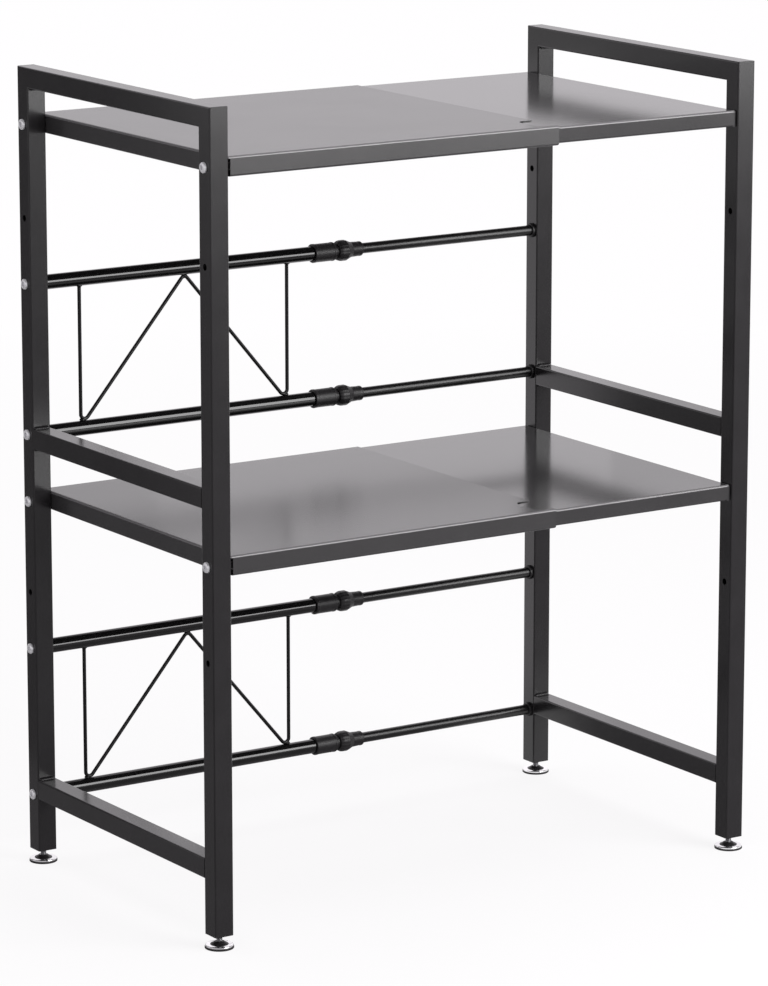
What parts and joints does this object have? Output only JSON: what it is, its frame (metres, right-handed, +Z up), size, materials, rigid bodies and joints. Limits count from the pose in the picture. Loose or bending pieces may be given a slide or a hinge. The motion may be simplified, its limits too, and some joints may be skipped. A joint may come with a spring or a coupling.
{
  "type": "microwave shelf",
  "caption": "Free-standing metal kitchen rack that pulls out in width, with sliding tray boards, guard rails, telescopic back bars and levelling feet.",
  "frame": {"origin": "on the floor, in the middle of the width and the depth as pulled out in the picture", "axes": "+X to the right along the back bars, +Y from the front to the back bars, +Z up"},
  "size_m": [0.63, 0.368, 0.8],
  "materials": {
    "black_frame": "satin black powder coat",
    "black_board": "smooth black powder coat with a blurred mirror",
    "black_bar": "gloss black enamel",
    "black_wire": "gloss black enamel",
    "black_plastic": "fine-grained moulded black plastic",
    "bright_bolt": "bright zinc plate",
    "chrome_pad": "polished chrome plate"
  },
  "bodies": {
    "left_end": {"bottom_bar_collar": "black_plastic", "bottom_bar_collet": "black_plastic", "bottom_bar_outer_tube": "black_bar", "left_bar_bolts": "bright_bolt", "left_bottom_rail": "black_frame", "left_front_foot_plug": "black_plastic", "left_front_upright": "black_frame", "left_guard_rail": "black_frame", "left_rear_foot_plug": "black_plastic", "left_rear_upright": "black_frame", "left_top_rail": "black_frame", "left_tray_bolts": "bright_bolt", "left_tray_nuts": "bright_bolt", "lower_left_tray": "black_board", "lower_wire_guard": "black_wire", "outer_tube_inserts": "bright_bolt", "second_bar_collar": "black_plastic", "second_bar_collet": "black_plastic", "second_bar_outer_tube": "black_bar", "third_bar_collar": "black_plastic", "third_bar_collet": "black_plastic", "third_bar_outer_tube": "black_bar", "top_bar_collar": "black_plastic", "top_bar_collet": "black_plastic", "top_bar_outer_tube": "black_bar", "upper_left_tray": "black_board", "upper_wire_guard": "black_wire"},
    "right_end": {"bottom_bar_inner_rod": "black_bar", "inner_rod_inserts": "bright_bolt", "lower_right_tray": "black_board", "right_bar_bolts": "bright_bolt", "right_bottom_rail": "black_frame", "right_front_foot_plug": "black_plastic", "right_front_upright": "black_frame", "right_guard_rail": "black_frame", "right_rear_foot_plug": "black_plastic", "right_rear_upright": "black_frame", "right_top_rail": "black_frame", "right_tray_bolts": "bright_bolt", "right_tray_nuts": "bright_bolt", "rod_end_rings": "black_plastic", "second_bar_inner_rod": "black_bar", "third_bar_inner_rod": "black_bar", "top_bar_inner_rod": "black_bar", "upper_right_tray": "black_board"},
    "bottom_bar_nut": {"bottom_bar_nut": "black_plastic"},
    "left_front_foot_pad": {"left_front_foot_pad": "chrome_pad"},
    "left_front_foot_stud": {"left_front_foot_stud": "bright_bolt"},
    "left_rear_foot_pad": {"left_rear_foot_pad": "chrome_pad"},
    "left_rear_foot_stud": {"left_rear_foot_stud": "bright_bolt"},
    "right_front_foot_pad": {"right_front_foot_pad": "chrome_pad"},
    "right_front_foot_stud": {"right_front_foot_stud": "bright_bolt"},
    "right_rear_foot_pad": {"right_rear_foot_pad": "chrome_pad"},
    "right_rear_foot_stud": {"right_rear_foot_stud": "bright_bolt"},
    "second_bar_nut": {"second_bar_nut": "black_plastic"},
    "third_bar_nut": {"third_bar_nut": "black_plastic"},
    "top_bar_nut": {"top_bar_nut": "black_plastic"}
  },
  "joints": [
    {"name": "width_slide", "type": "slide", "parent": "left_end", "child": "right_end", "axis": [1, 0, 0], "range_m": [-0.2, 0.018]},
    {"name": "bottom_bar_nut_turn", "type": "hinge", "parent": "left_end", "child": "bottom_bar_nut", "pos_m": [0.067, 0.17, 0.0705], "axis": [1, 0, 0], "range_deg": [0, 180]},
    {"name": "third_bar_nut_turn", "type": "hinge", "parent": "left_end", "child": "third_bar_nut", "pos_m": [0.067, 0.17, 0.2205], "axis": [1, 0, 0], "range_deg": [0, 180]},
    {"name": "second_bar_nut_turn", "type": "hinge", "parent": "left_end", "child": "second_bar_nut", "pos_m": [0.067, 0.17, 0.437], "axis": [1, 0, 0], "range_deg": [0, 180]},
    {"name": "top_bar_nut_turn", "type": "hinge", "parent": "left_end", "child": "top_bar_nut", "pos_m": [0.067, 0.17, 0.587], "axis": [1, 0, 0], "range_deg": [0, 180]},
    {"name": "left_front_foot_rise", "type": "slide", "parent": "left_end", "child": "left_front_foot_stud", "axis": [0, 0, -1], "range_m": [-0.00305, 0.01005]},
    {"name": "left_front_foot_turn", "type": "hinge", "parent": "left_front_foot_stud", "child": "left_front_foot_pad", "pos_m": [-0.301, -0.17, 0.003], "axis": [0, 0, -1], "range_deg": [-1080, 3600]},
    {"name": "left_rear_foot_rise", "type": "slide", "parent": "left_end", "child": "left_rear_foot_stud", "axis": [0, 0, -1], "range_m": [-0.00305, 0.01005]},
    {"name": "left_rear_foot_turn", "type": "hinge", "parent": "left_rear_foot_stud", "child": "left_rear_foot_pad", "pos_m": [-0.301, 0.17, 0.003], "axis": [0, 0, -1], "range_deg": [-1080, 3600]},
    {"name": "right_front_foot_rise", "type": "slide", "parent": "right_end", "child": "right_front_foot_stud", "axis": [0, 0, -1], "range_m": [-0.00305, 0.01005]},
    {"name": "right_front_foot_turn", "type": "hinge", "parent": "right_front_foot_stud", "child": "right_front_foot_pad", "pos_m": [0.301, -0.17, 0.003], "axis": [0, 0, -1], "range_deg": [-1080, 3600]},
    {"name": "right_rear_foot_rise", "type": "slide", "parent": "right_end", "child": "right_rear_foot_stud", "axis": [0, 0, -1], "range_m": [-0.00305, 0.01005]},
    {"name": "right_rear_foot_turn", "type": "hinge", "parent": "right_rear_foot_stud", "child": "right_rear_foot_pad", "pos_m": [0.301, 0.17, 0.003], "axis": [0, 0, -1], "range_deg": [-1080, 3600]}
  ],
  "couplings": [
    {"joint": "left_front_foot_rise", "follows": "left_front_foot_turn", "m_per_rad": 0.00015915},
    {"joint": "left_rear_foot_rise", "follows": "left_rear_foot_turn", "m_per_rad": 0.00015915},
    {"joint": "right_front_foot_rise", "follows": "right_front_foot_turn", "m_per_rad": 0.00015915},
    {"joint": "right_rear_foot_rise", "follows": "right_rear_foot_turn", "m_per_rad": 0.00015915}
  ]
}
